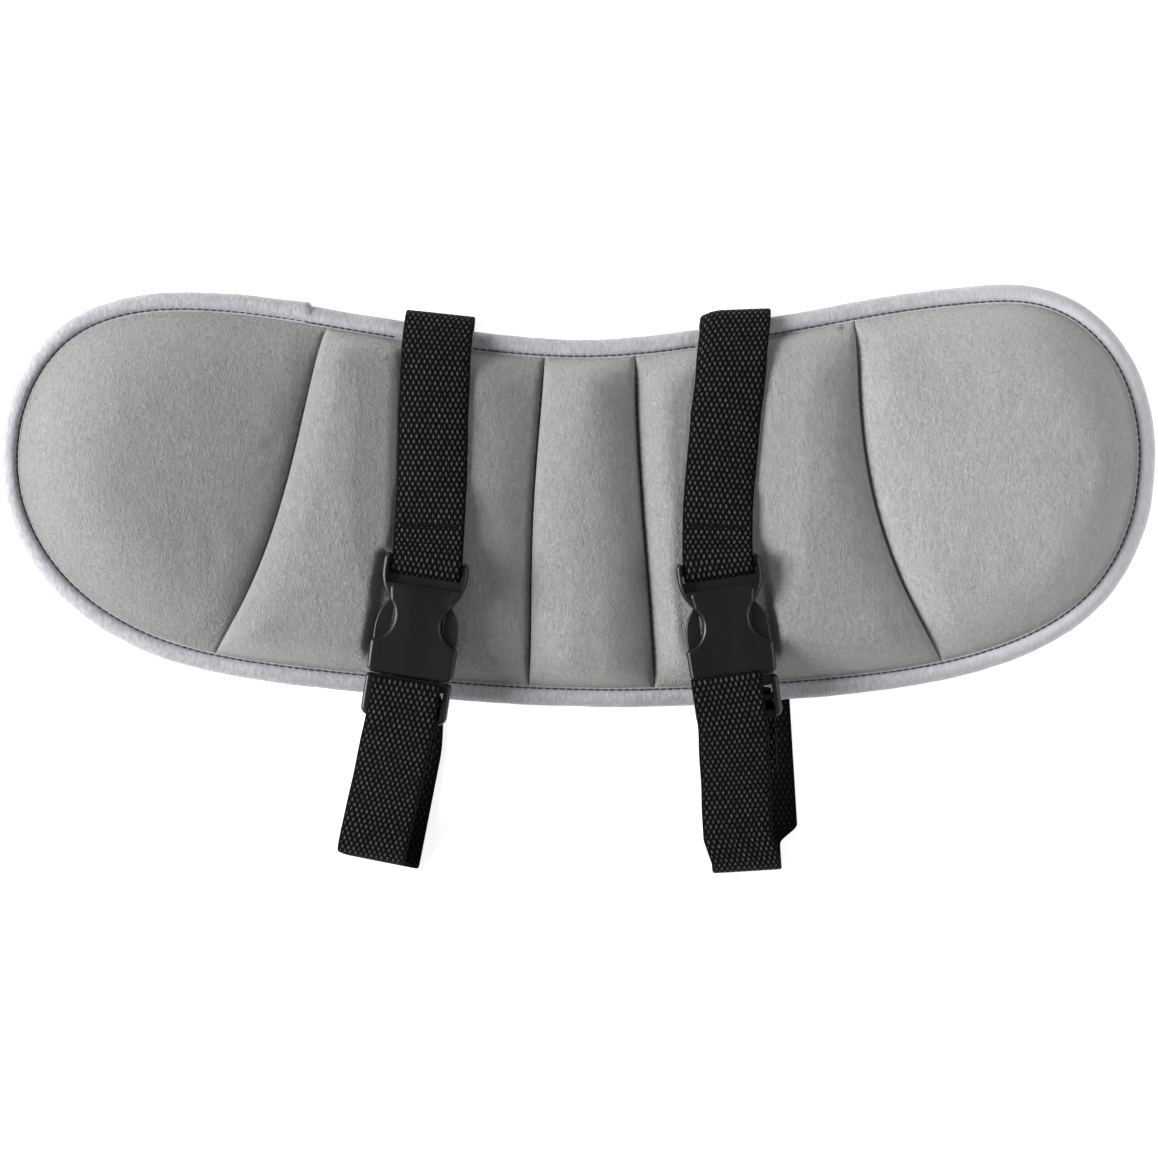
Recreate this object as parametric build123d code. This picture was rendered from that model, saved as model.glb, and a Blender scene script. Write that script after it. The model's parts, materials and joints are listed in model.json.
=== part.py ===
from build123d import *
import os
from math import cos, radians, sin

# Quilted armrest pad, lying on its back. Millimetres.
# +Z is the plush face, +X runs along the pad, +Y points to the hollow long edge.
# The origin is on the back face, at the middle of the pad.

# ------------------------------------------------------------------ pad
# Outer edge of the binding, counter-clockwise from the left tip.
PAD_OUTLINE = [
    (-208.4, 14), (-206.5, -2), (-198, -22), (-178, -43.5), (-150, -58.2), (-110, -66.8),
    (-60, -72), (10, -75.8), (80, -72.7), (130, -66.5), (165, -55.5), (190, -38),
    (204, -14), (208.6, 14), (204, 42), (192, 61.5), (174, 73.8), (152, 76.7),
    (98, 70.2), (44, 60.8), (0, 57), (-28, 58.7), (-73, 65.2), (-118, 72.4),
    (-145, 74), (-172, 69.8), (-192, 57.5), (-204, 38),
]
OUTLINE_SAMPLES = 36
# The seams that part the quilted face, from the hollow edge to the full edge.
SEAMS = [
    [(-89, 66), (-97.1, 34.9), (-104.9, 2.5), (-113.6, -23.4), (-133.2, -60)],
    [(-11.5, 60), (-13.3, 31.3), (-16, -5), (-17, -51.5), (-18.3, -78)],
    [(20.6, 62), (21, 34.9), (22.7, 2.5), (25.2, -29.9), (27.8, -78)],
    [(98.8, 74), (101.8, 27.7), (106, 0), (114.5, -26.3), (134.7, -65)],
]
PANEL_NAMES = ["left_end", "left_mid", "centre", "right_mid", "right_end"]
PANEL_TOPS = [28.0, 24.0, 24.0, 24.0, 28.0]
PANEL_ROUNDING = [13.0, 11.0, 11.0, 11.0, 13.0]
SEAM_GAP = 1.0
COVER_T = 2.0

BACK_TOP = 3.0
FOAM_TOP = 7.0
LINING_TOP = 7.4

BINDING_W = 7.2
BINDING_TOP = 9.4
BINDING_WALL = 2.0
BINDING_FLANGE = 2.2
BINDING_ROUNDING = 1.9
THREAD_INSET = 6.2
THREAD_W = 0.5
SEAM_THREAD_T = 0.8

FIT = 0.3

# ------------------------------------------------------------------ webbing straps
WEBBING_W = 25.0
WEBBING_T = 1.4
LAYER = 1.65
BACK_RUN_Z = WEBBING_T / 2
RECESS_W = WEBBING_W + 2 * FIT
RECESS_DEPTH = WEBBING_T + 0.1
CHANNEL_FLOOR = 20.5
CHANNEL_W = 29.0
BUCKLE_CHANNEL_W = 36.0

# Each side: middle of the socket's bar, and how far each piece turns about +Z.
SIDES = {
    "left": {"bar": (-53.8, -24.5), "buckle": -8.8, "upper": -2.7, "lower": -11.1, "fold": 92.0},
    "right": {"bar": (50.0, -24.8), "buckle": 8.0, "upper": -4.3, "lower": 3.5, "fold": 95.5},
}
UPPER_BACK_END = 44.0
UPPER_ANCHOR_Y = 57.0
LOWER_TURN_END = 98.0
LOWER_FOLD = 110.0
LOOP_TOP_Z = 9.6
LOWER_BACK_END = 8.0
LOWER_ANCHOR_Y = -21.0
BEND = 58.0
LOOP_END = 21.0
STITCH_W = 0.8
STITCH_DEPTH = 0.45
STITCH_BOX = 19.0
TACK_Y = 14.0

# ------------------------------------------------------------------ side-release buckle
# Along the buckle, lengths run from the middle of the socket's bar towards the plug.
BUCKLE_Z = CHANNEL_FLOOR + 5.1
SOCKET_T = 9.5
SOCKET_TOP_V = 8.0
SOCKET_MOUTH_V = 40.4
LEDGE_V = 28.6
CAVITY_V = 12.5
CAVITY_H = 5.2
CAVITY_W = 26.8
NECK_V = 14.2
NECK_HALF = 10.8
RING_HALF = 15.2
RING_TOP = 2.8
RING_CORNER = 2.6
RING_T = 8.6
BAR_W = 4.4
BAR_T = 3.4
SLOT_W = 27.0
SHELF_V = 4.6
BODY_ROUNDING = 1.4
RING_ROUNDING = 1.3
ARM_ROUNDING = 0.6
FINGER_PAD_X = 11.2
PLUG_ROUNDING = 1.4
SHELF_Z = (-3.6, 0.6)
PLUG_W = 30.8
PLUG_T = 7.2
PLUG_SLOT_W = 25.8
PLUG_V = 40.7
PLUG_END_V = 55.8
PLUG_SLOTS = [(44.3, 47.2), (50.0, 52.8)]
SHOULDER_TOP = 2.9
TONGUE_W = 6.4
TONGUE_TIP_V = 15.5
TONGUE_T = 4.4
ARM_T = 4.0
ARM_GAP = 0.15
ARM_PIVOT = (9.4, 42.3)
KNUCKLE_R = 1.6
KNUCKLE_GAP = 0.12


# ------------------------------------------------------------------ helpers
def extruded(face, low, high):
    """The face as a solid between two heights."""
    return extrude(Pos(0, 0, low) * face, amount=high - low, dir=(0, 0, 1))


def block(x, y, z):
    """A box from three (low, high) pairs."""
    size = (x[1] - x[0], y[1] - y[0], z[1] - z[0])
    middle = ((x[0] + x[1]) / 2, (y[0] + y[1]) / 2, (z[0] + z[1]) / 2)
    return Pos(*middle) * Box(*size)


def placed(side, angle, solid):
    """A solid built about the socket's bar, moved to where one side's bar is."""
    x, y = SIDES[side]["bar"]
    return Pos(x, y, 0) * Rot(0, 0, SIDES[side][angle]) * solid


def past_buckle(side, solid):
    """A solid built about the bar, turned about the bend just past the plug."""
    turn = Rot(0, 0, SIDES[side]["lower"] - SIDES[side]["buckle"])
    return placed(side, "buckle", Pos(0, -BEND, 0) * turn * Pos(0, BEND, 0) * solid)


def webbing(points, radii):
    """A strap along a side-on path of (y, z) points."""
    band = trace(FilletPolyline(*points, radius=radii), line_width=WEBBING_T)
    return extrude(Plane.YZ * band, amount=WEBBING_W / 2, both=True)


def profile_block(points, width):
    """A side-on (y, z) polygon, as wide as given."""
    return extrude(Plane.YZ * make_face(Polyline(*points, close=True)), amount=width / 2, both=True)


def box_x(size, width, depth):
    """A square of stitching with its diagonals, standing on z = 0."""
    half = size / 2
    rails = [
        Pos(0, place, depth / 2) * Box(size, width, depth)
        for place in (-half + width / 2, half - width / 2)
    ]
    stiles = [Rot(0, 0, 90) * rail for rail in rails]
    diagonal = Pos(0, 0, depth / 2) * Box(1.36 * (size - width), width, depth)
    return Part() + rails + stiles + [Rot(0, 0, turn) * diagonal for turn in (45, -45)]


# ------------------------------------------------------------------ pad layers
OUTER_EDGE = Spline(*PAD_OUTLINE, periodic=True)


def pad_face(inset):
    """The pad's plan, a given distance inside its outer edge."""
    if inset == 0:
        return make_face(OUTER_EDGE)
    points = []
    for i in range(OUTLINE_SAMPLES):
        along = OUTER_EDGE % (i / OUTLINE_SAMPLES)
        points.append(OUTER_EDGE @ (i / OUTLINE_SAMPLES) + Vector(-along.Y, along.X) * inset)
    return make_face(Spline(*points, periodic=True))


def strap_recesses():
    """The space that the straps take on the back."""
    upper = block((-RECESS_W / 2, RECESS_W / 2), (UPPER_BACK_END - FIT, 130), (-1, RECESS_DEPTH))
    lower = block((-RECESS_W / 2, RECESS_W / 2), (-130, -LOWER_BACK_END + FIT), (-1, RECESS_DEPTH))
    return [placed(side, "upper", upper) for side in SIDES] + [past_buckle(side, lower) for side in SIDES]


def strap_channels(side, deeper):
    """The space pressed into the quilted face by one side's strap and buckle."""
    floor = CHANNEL_FLOOR - deeper
    fold = SIDES[side]["fold"]
    over_edge = [(-20, floor), (fold - 23, floor), (fold + 8, floor - 15), (fold + 8, 60), (-20, 60)]
    strap = profile_block(over_edge, CHANNEL_W + 2 * deeper)
    loop_half = CHANNEL_W / 2 + deeper
    loop = block((-loop_half, loop_half), (-5, LOOP_END + 3 + deeper), (floor, 60))
    half = BUCKLE_CHANNEL_W / 2 + deeper
    buckle = block((-half, half), (-90, 8 + deeper), (floor, 60))
    return placed(side, "upper", strap) + placed(side, "buckle", loop + buckle)


def panel_blocks(inset, lift, drop):
    """The five rounded blocks of the quilted face, each inset from its seams and edge."""
    plan = pad_face(BINDING_W + FIT + inset)
    for seam in SEAMS:
        plan -= trace(Spline(*seam), line_width=SEAM_GAP + 2 * inset)
    blocks = []
    for face, top, rounding in zip(plan.faces().sort_by(Axis.X), PANEL_TOPS, PANEL_ROUNDING):
        solid = extruded(face, LINING_TOP + lift, top - drop)
        blocks.append(fillet(solid.edges().group_by(Axis.Z)[-1], rounding - drop))
    return blocks


def pressed(solid, deeper):
    """A block of the quilted face with the straps' channels cut in it."""
    for side in SIDES:
        solid -= strap_channels(side, deeper)
    return solid


def back_cover():
    """Non-slip fabric across the back, thinner where the binding grips it."""
    rim = extruded(pad_face(BINDING_WALL + FIT), BINDING_FLANGE, BACK_TOP)
    middle = extruded(pad_face(BINDING_W + FIT), 0, BACK_TOP)
    return rim + middle - strap_recesses()


def edge_binding():
    """Fabric channel folded over the edge of the layers all the way round."""
    roll = extruded(pad_face(0), 0, BINDING_TOP)
    roll = fillet(roll.edges().group_by(Axis.Z)[-1] + roll.edges().group_by(Axis.Z)[0], BINDING_ROUNDING)
    roll -= extruded(pad_face(BINDING_W), -1, BINDING_TOP + 1)
    roll -= extruded(pad_face(BINDING_WALL), BINDING_FLANGE, LINING_TOP)
    return roll - strap_recesses() - thread_ring(0.1)


def thread_ring(gap):
    """The stitch line that holds the binding, as one ring laid in its groove."""
    outer = pad_face(THREAD_INSET - gap)
    inner = pad_face(THREAD_INSET + THREAD_W + gap)
    return extruded(outer - inner, BINDING_TOP - THREAD_W - gap, BINDING_TOP)


def seam_threads():
    """The thread at the foot of each seam between two panels."""
    inside = extruded(pad_face(BINDING_W + 2 * FIT), LINING_TOP, LINING_TOP + 1)
    top = LINING_TOP + SEAM_THREAD_T
    strips = [extruded(trace(Spline(*seam), line_width=THREAD_W), LINING_TOP, top) for seam in SEAMS]
    return [inside & strip for strip in strips]


# ------------------------------------------------------------------ straps
FACE_RUN_Z = CHANNEL_FLOOR + 1.2
UNDER_LAYER_Z = CHANNEL_FLOOR + 0.35 + WEBBING_T / 2
TOP_LAYER_Z = UNDER_LAYER_Z + LAYER
BAR_LAYER = BAR_T / 2 + WEBBING_T / 2 + 0.1


def upper_anchor(side):
    """The box of stitching that holds an upper strap to the back, flush with its face."""
    return placed(side, "upper", Pos(0, UPPER_ANCHOR_Y, 0) * box_x(STITCH_BOX, STITCH_W, STITCH_DEPTH))


def lower_anchor(side):
    """The box of stitching that holds a lower strap to the back, flush with its face."""
    return past_buckle(side, Pos(0, LOWER_ANCHOR_Y, 0) * box_x(STITCH_BOX, STITCH_W, STITCH_DEPTH))


def loop_tack(side):
    """The dense bar of stitching that closes the loop round the socket's bar."""
    top = TOP_LAYER_Z + WEBBING_T / 2
    half = WEBBING_W / 2 - 2
    tack = block((-half, half), (TACK_Y - STITCH_W, TACK_Y + STITCH_W), (top - STITCH_DEPTH, top))
    return placed(side, "buckle", tack)


def upper_strap(side):
    """From the back, over the hollow edge and down the face to the socket's bar."""
    fold = SIDES[side]["fold"] - WEBBING_T / 2
    over_bar = BUCKLE_Z + BAR_LAYER
    under_bar = BUCKLE_Z - BAR_LAYER
    past_bar = -BAR_W / 2 - 0.8
    run = [
        (UPPER_BACK_END, BACK_RUN_Z), (fold, BACK_RUN_Z), (fold, 12.5), (fold - 20, FACE_RUN_Z),
        (29, FACE_RUN_Z), (25, TOP_LAYER_Z), (15, TOP_LAYER_Z),
    ]
    loop = [
        (20, TOP_LAYER_Z), (9.5, TOP_LAYER_Z), (2.6, over_bar), (past_bar, over_bar),
        (past_bar, under_bar), (2.6, under_bar), (8.5, UNDER_LAYER_Z), (LOOP_END, UNDER_LAYER_Z),
    ]
    strap = placed(side, "upper", webbing(run, [4, 5, 12, 3, 3]))
    strap += placed(side, "buckle", webbing(loop, [3, 3, 2, 2, 3, 3]))
    return strap - upper_anchor(side) - loop_tack(side)


def plug_strap(side):
    """Round the plug's bars, down past the pad and half of the turn at the bottom."""
    top = BUCKLE_Z + BAR_LAYER
    under = BUCKLE_Z - BAR_LAYER
    wrap_v = PLUG_SLOTS[0][1] - 0.8
    fold = LOWER_FOLD - WEBBING_T / 2
    loop = [
        (-61, top), (-wrap_v, top), (-wrap_v, under), (-57, under), (-63, under - 0.5), (-75, under - 6.6),
    ]
    run = [
        (-57, top), (-60, top), (-97, LOOP_TOP_Z), (-fold, LOOP_TOP_Z), (-fold, BACK_RUN_Z),
        (-LOWER_TURN_END, BACK_RUN_Z),
    ]
    strap = placed(side, "buckle", webbing(loop, [2, 2, 4, 4]))
    return strap + past_buckle(side, webbing(run, [4, 10, 4.3, 4.3]))


def rear_run(side):
    """The rest of the lower strap, flat along the back of the pad."""
    y = (-LOWER_TURN_END + 0.2, -LOWER_BACK_END)
    strap = block((-WEBBING_W / 2, WEBBING_W / 2), y, (0, WEBBING_T))
    return past_buckle(side, strap) - lower_anchor(side)


# ------------------------------------------------------------------ buckle
def mirrored_outline(right_half):
    """A closed plan, given its right half from the top to the bottom of the middle line."""
    half = Wire(right_half.edges())
    return make_face(Wire(list(half.edges()) + list(mirror(half, about=Plane.YZ).edges())))


def socket_plan():
    """Hourglass plan of the socket's body, with an arc-shaped window at each side."""
    top, mouth = -SOCKET_TOP_V, -SOCKET_MOUTH_V
    half = Line((0, top), (9.6, top))
    half += JernArc((9.6, top), (1, 0), 2.0, -90)
    half += Line((11.6, top - 2.0), (NECK_HALF, -NECK_V))
    half += ThreePointArc((NECK_HALF, -NECK_V), (8.5, -20.8), (15.0, -LEDGE_V + 0.2))
    half += Line((15.0, -LEDGE_V + 0.2), (15.6, -LEDGE_V - 0.8))
    half += Line((15.6, -LEDGE_V - 0.8), (15.4, mouth + 2.4))
    half += ThreePointArc((15.4, mouth + 2.4), (14.7, mouth + 0.75), (13.0, mouth))
    half += Line((13.0, mouth), (0, mouth - 0.2))
    return mirrored_outline(half)


def rim_edges(solid):
    """The edges of a flat solid's top and bottom faces."""
    faces = solid.faces().sort_by(Axis.Z)
    return faces[-1].edges() + faces[0].edges()


def ring_plan():
    """Plan of the webbing ring, which draws in to the socket's neck."""
    half = Line((0, RING_TOP), (RING_HALF - RING_CORNER, RING_TOP))
    half += JernArc((RING_HALF - RING_CORNER, RING_TOP), (1, 0), RING_CORNER, -90)
    half += Line((RING_HALF, RING_TOP - RING_CORNER), (RING_HALF, -3.6))
    half += ThreePointArc((RING_HALF, -3.6), (14.1, -9.0), (NECK_HALF, -NECK_V))
    half += Line((NECK_HALF, -NECK_V), (0, -NECK_V))
    return mirrored_outline(half)


def socket():
    """Side-release socket: hollow hourglass body with a ring for the webbing."""
    body = extruded(socket_plan(), -SOCKET_T / 2, SOCKET_T / 2)
    body = fillet(body.edges().filter_by(GeomType.LINE).filter_by(Axis.Z), 0.7)
    body = fillet(rim_edges(body), BODY_ROUNDING)
    body -= block((-CAVITY_W / 2, CAVITY_W / 2), (-60, -CAVITY_V), (-CAVITY_H / 2, CAVITY_H / 2))
    body -= block((-20, 20), (-LEDGE_V, -CAVITY_V), (-CAVITY_H / 2, CAVITY_H / 2))
    ring = extruded(ring_plan(), -RING_T / 2, RING_T / 2)
    ring = fillet(rim_edges(ring), RING_ROUNDING)
    ring -= block((-SLOT_W / 2, SLOT_W / 2), (-SOCKET_TOP_V, RING_TOP + 1), (-9, 9))
    ring -= block((-20, 20), (-60, -CAVITY_V), (-CAVITY_H / 2, CAVITY_H / 2))
    shelf = block((-SLOT_W / 2 - 0.2, SLOT_W / 2 + 0.2), (-SOCKET_TOP_V - 1, -SHELF_V), SHELF_Z)
    bar = block((-SLOT_W / 2 - 0.5, SLOT_W / 2 + 0.5), (-BAR_W / 2, BAR_W / 2), (-BAR_T / 2, BAR_T / 2))
    bar = fillet(bar.edges().filter_by(Axis.X), 1.4)
    return Pos(0, 0, BUCKLE_Z) * (body + ring + shelf + bar)


def plug():
    """Side-release plug: ladder of two bars, shoulder, and tongue between the arms."""
    half = PLUG_W / 2
    frame = block((-half, half), (-PLUG_END_V, -PLUG_V), (-PLUG_T / 2, PLUG_T / 2))
    frame = fillet(frame.edges().filter_by(Axis.Z).group_by(Axis.Y)[0], 3.0)
    frame = fillet(frame.edges().filter_by(Axis.Z).group_by(Axis.Y)[-1], 1.5)
    frame = fillet(rim_edges(frame), PLUG_ROUNDING)
    inner = (-PLUG_SLOT_W / 2, PLUG_SLOT_W / 2)
    for low, high in PLUG_SLOTS:
        frame -= block(inner, (-high, -low), (-9, 9))
    for low, high in ((BAR_T / 2, 9), (-9, -BAR_T / 2)):
        frame -= block(inner, (-60, -PLUG_SLOTS[0][1]), (low, high))
    frame -= block(inner, (-PLUG_SLOTS[0][1], -PLUG_V + 1), (SHOULDER_TOP, 9))
    frame = fillet(bar_edges(frame), 1.2)
    tongue = block((-TONGUE_W / 2, TONGUE_W / 2), (-PLUG_V - 1, -TONGUE_TIP_V), (-TONGUE_T / 2, TONGUE_T / 2))
    tongue = fillet(tongue.edges().filter_by(Axis.Z).group_by(Axis.Y)[-1], 2.0)
    shape = frame + tongue
    for mark in (-1, 1):
        x = mark * ARM_PIVOT[0]
        pocket = Pos(x, -ARM_PIVOT[1], 0) * Cylinder(KNUCKLE_R + KNUCKLE_GAP, ARM_T + 2 * ARM_GAP)
        depth = (-ARM_T / 2 - ARM_GAP, ARM_T / 2 + ARM_GAP)
        mouth = block((x - 1.4, x + 1.4), (-ARM_PIVOT[1], -PLUG_V + 1), depth)
        shape -= pocket + mouth
    return Pos(0, 0, BUCKLE_Z) * shape


def bar_edges(frame):
    """The long edges of the plug's two bars."""
    return [
        edge for edge in frame.edges().filter_by(Axis.X)
        if edge.length > PLUG_SLOT_W - 1 and abs(abs(edge.center().Z) - BAR_T / 2) < 0.01
        and edge.center().Y < -PLUG_SLOTS[0][1] + 0.1
    ]


def latch_arm(mark):
    """One springy arm of the plug, with its finger pad, barb and root."""
    ledge = -LEDGE_V + FIT
    outline = Line((8.6, -ARM_PIVOT[1]), (8.7, -29.5))
    outline += Spline((8.7, -29.5), (9.6, -24), (9.4, -18), (9.4, -15))
    outline += ThreePointArc((9.4, -15), (10.2, -13.6), (11.4, -14.6))
    outline += Spline((11.4, -14.6), (13.8, -18.0), (14.9, -22.6), (14.9, ledge))
    outline += Line((14.9, ledge), (12.0, ledge - 0.3))
    outline += Spline((12.0, ledge - 0.3), (10.8, -31), (10.3, -34))
    outline += Line((10.3, -34), (10.2, -ARM_PIVOT[1]))
    outline += Line((10.2, -ARM_PIVOT[1]), (8.6, -ARM_PIVOT[1]))
    arm = extruded(make_face(outline), -ARM_T / 2, ARM_T / 2)
    finger_pad = [
        edge for edge in rim_edges(arm) if edge.center().X > FINGER_PAD_X and edge.center().Y > ledge
    ]
    arm = fillet(finger_pad, ARM_ROUNDING)
    arm += Pos(ARM_PIVOT[0], -ARM_PIVOT[1], 0) * Cylinder(KNUCKLE_R, ARM_T)
    if mark < 0:
        arm = mirror(arm, about=Plane.YZ)
    return Pos(0, 0, BUCKLE_Z) * arm


# ------------------------------------------------------------------ the whole part
def all_parts():
    """Every node, by name."""
    parts = {
        "back_cover": back_cover(),
        "base_foam": extruded(pad_face(BINDING_WALL + FIT), BACK_TOP, FOAM_TOP),
        "lining": extruded(pad_face(BINDING_WALL + FIT), FOAM_TOP, LINING_TOP),
        "edge_binding": edge_binding(),
        "binding_thread": thread_ring(0),
        "panel_seam_threads": seam_threads(),
    }
    outers = panel_blocks(0, 0, 0)
    hollows = panel_blocks(COVER_T, -1, COVER_T)
    fillings = panel_blocks(COVER_T + FIT, 0, COVER_T + FIT)
    for name, outer, hollow, filling in zip(PANEL_NAMES, outers, hollows, fillings):
        parts[f"front_panel_{name}"] = pressed(outer, 0) - pressed(hollow, COVER_T)
        parts[f"filling_{name}"] = pressed(filling, COVER_T + FIT)
    for side in SIDES:
        parts[f"upper_strap_{side}"] = upper_strap(side)
        parts[f"lower_strap_rear_run_{side}"] = rear_run(side)
        parts[f"lower_strap_front_run_{side}"] = plug_strap(side)
        parts[f"socket_{side}"] = placed(side, "buckle", socket())
        parts[f"plug_{side}"] = placed(side, "buckle", plug())
        parts[f"plug_{side}_arm_left"] = placed(side, "buckle", latch_arm(-1))
        parts[f"plug_{side}_arm_right"] = placed(side, "buckle", latch_arm(1))
    anchors = [upper_anchor(side) for side in SIDES] + [lower_anchor(side) for side in SIDES]
    parts["strap_anchor_stitches"] = anchors
    parts["strap_loop_tacks"] = [loop_tack(side) for side in SIDES]
    return parts


os.makedirs("parts", exist_ok=True)
for node, shape in all_parts().items():
    solids = shape if isinstance(shape, list) else [shape]
    solids = [solid for piece in solids for solid in piece.solids()]
    export_step(Compound(children=solids) if len(solids) > 1 else solids[0], f"parts/{node}.step")
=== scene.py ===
import json
import math

import bpy
import numpy as np
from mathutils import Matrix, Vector, noise
from mathutils.geometry import delaunay_2d_cdt


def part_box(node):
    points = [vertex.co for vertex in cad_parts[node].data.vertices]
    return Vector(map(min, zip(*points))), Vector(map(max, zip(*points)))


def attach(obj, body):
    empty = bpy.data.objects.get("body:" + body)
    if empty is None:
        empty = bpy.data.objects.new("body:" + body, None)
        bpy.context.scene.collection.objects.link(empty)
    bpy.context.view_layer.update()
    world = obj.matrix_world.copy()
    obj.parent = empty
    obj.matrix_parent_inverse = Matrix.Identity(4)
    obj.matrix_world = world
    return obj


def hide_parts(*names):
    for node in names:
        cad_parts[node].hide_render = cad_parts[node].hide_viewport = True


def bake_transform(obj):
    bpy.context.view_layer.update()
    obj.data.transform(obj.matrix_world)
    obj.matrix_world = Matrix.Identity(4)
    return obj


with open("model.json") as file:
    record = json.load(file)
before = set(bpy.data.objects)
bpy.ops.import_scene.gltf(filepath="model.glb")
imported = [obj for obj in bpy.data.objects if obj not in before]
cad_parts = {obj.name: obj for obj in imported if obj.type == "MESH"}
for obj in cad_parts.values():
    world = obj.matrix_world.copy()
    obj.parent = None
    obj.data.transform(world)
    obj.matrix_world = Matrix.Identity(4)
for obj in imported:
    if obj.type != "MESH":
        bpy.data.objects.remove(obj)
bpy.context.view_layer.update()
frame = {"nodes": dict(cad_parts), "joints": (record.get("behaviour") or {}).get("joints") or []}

# Looks of the quilted armrest pad, in metres, in the frame of the CAD model:
# +Z is the plush face, +Y the hollow long edge, and the pad lies on its back on z = 0.
MM = 0.001
SIDES = ("left", "right")
PANELS = ("left_end", "left_mid", "centre", "right_mid", "right_end")
# Painted light of each panel: a factor on its plush colour that makes it lighter or darker, for the sheen of
# its nap and the light falling on it.
PANEL_PAINTED_LIGHT = (0.99, 1.0, 1.05, 1.09, 1.33)

# Pad
OUTLINE_POINTS = 900
GRID = 1.5 * MM
BINDING_W = 7.2 * MM
PANEL_BASE = 7.5 * MM
RIM_HEIGHT = 8.6 * MM
GROOVE_DEPTH = 2.6 * MM
GROOVE_REACH = 0.9 * MM
LAP_X = -97 * MM
LAP_STEP = 1.7 * MM
# Mean lean of the seams, and the least gap between two of them.
SEAM_LEAN = 0.22
SEAM_GAP = 8 * MM
# Crown of each panel, in millimetres: its height, its falls towards the seams as (drop, reach) pairs, how far
# its rim reaches in, and how steeply it rises there.
CROWNS = {
    "left_end": {"top": 27.0, "left": [], "right": [(9.5, 66), (2.5, 12)], "rim": 42, "steep": 2.3},
    "left_mid": {"top": 25.4, "left": [(5.3, 12)], "right": [(13.2, 60)], "rim": 17, "steep": 3},
    "centre": {"top": 21.8, "left": [(6.4, 17)], "right": [(8.0, 18)], "rim": 17, "steep": 3},
    "right_mid": {
        "top": 26.2, "left": [(7.9, 34), (5.0, 11)], "right": [(4.6, 50), (4.0, 17)], "rim": 24, "steep": 3,
    },
    "right_end": {"top": 24.6, "left": [(3.4, 70), (3.6, 12)], "right": [], "rim": 40, "steep": 3.5},
}
CROWN_BASE = 0.5 * MM
# A height that presses nothing down.
FREE = 1.0
VALLEY_SLOPE = 0.25
# The left strap's valley is steeper beside its left edge.
VALLEY_STEEP = 0.6
VALLEY_STEEP_W = 3 * MM
VALLEY_HALF = 12.3 * MM
VALLEY_REACH = 45 * MM
# Hollow under each buckle: its gap, the step up beside it, and the slopes of its sides and upper end.
BUCKLE_GAP = 0.3 * MM
BUCKLE_STEP = 4.2 * MM
BUCKLE_STEP_FROM = 15.8 * MM
BUCKLE_HALF = 15.6 * MM
BUCKLE_SIDE_SLOPE = 0.16
BUCKLE_END_SLOPE = 1.5
# The covers' cloth: its frames, its pressure, and how far a point may move.
SETTLE_FRAMES = 12
SETTLE_PRESSURE = 3.0
SETTLE_CAP = 1.2 * MM

# Straps
WEBBING_W = 25 * MM
WEBBING_T = 1.4 * MM
DOT_ACROSS = 1.95 * MM
DOT_ALONG = 1.9 * MM
LAYER = 1.65 * MM
CROWN = 0.9 * MM
# Height of the back fabric over the back runs, and the height below which a strap lies behind the pad.
BACK_LAYER = WEBBING_T + 0.05 * MM
BEHIND_Z = 3 * MM
# A strap is on the face above this height, and its loop at the buckle ends at this distance above the bar.
FACE_Z = 4 * MM
LOOP_END = 32 * MM
# Distances from the bar: the ends of the back runs, and the middles of the boxes that sew them on.
UPPER_END = 44 * MM
LOWER_END = 8 * MM
UPPER_SEWN = 57 * MM
LOWER_SEWN = 21 * MM
# Where each lower strap's rear run starts to stray, over what length, where it ends, and how far it strays.
STRAY = {"left": (44 * MM, 24 * MM, 140 * MM, 2.6 * MM), "right": (37 * MM, 9 * MM, 102 * MM, 6.6 * MM)}
# How far the front run of each lower strap drifts sideways, as (distance below the bar, drift) pairs.
DRIFT = {
    "left": [(46 * MM, 0.6 * MM), (60 * MM, 0.8 * MM), (104 * MM, 2.6 * MM)],
    "right": [(46 * MM, 3.0 * MM), (98 * MM, 3.0 * MM), (107 * MM, 0.3 * MM)],
}
# Height by which each front run rides above the plug's bars, and where each strap turns under itself.
OVER_RAIL = {"left": 0.5 * MM, "right": 2.0 * MM}
TURN_BACK = {"left": 2.4 * MM, "right": 0.0}
# How much each upper strap leans more than its back run, how much lower it folds, and its fold's own slant.
EXTRA_LEAN = {"left": math.radians(3.4), "right": math.radians(1.0)}
FOLD_LOWER = {"left": 1.2 * MM, "right": 2.8 * MM}
FOLD_SLANT = {"left": 0.0, "right": 0.13}
FOLD_TUCK = {"left": 0.0, "right": 2.0 * MM}
# Travel along a lower strap at which it comes up through the plug.
UP_THROUGH = 33 * MM
# Slack fold of each lower strap over the plug's shoulder, in mm: (distance below the bar, height above it).
SLACK = {
    "left": [
        (45.8, 1.6), (45.5, 3.4), (44.2, 3.95), (42.4, 4.1),
        (41.6, 4.8), (42.4, 5.55), (46, 5.2), (50, 4.2),
    ],
    "right": [
        (45.8, 1.6), (45.2, 4.0), (42.4, 5.4), (39.6, 6.0),
        (38.6, 6.8), (39.6, 7.6), (44, 6.9), (50, 5.4),
    ],
}
LOWER_FOLD = 110.4 * MM
UPPER_BEND = 46 * MM
LOWER_BEND = 58 * MM
BAR_HALF = 2.2 * MM
BAR_LAYER = 2.5 * MM
RING_TOP = 2.8 * MM
TACKS = 34
TACK_AT = 14 * MM
TACK_PITCH = 0.62 * MM
TACK_HALF = 0.8 * MM

# Camera: its place, the distance down to the face, the width seen there, and its sensor in millimetres.
CAMERA_PLACE = (0.0004, -0.0295, 1.459)
VIEW_DISTANCE = 1.45
VIEW_WIDTH = 0.4169
SENSOR = 36


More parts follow.
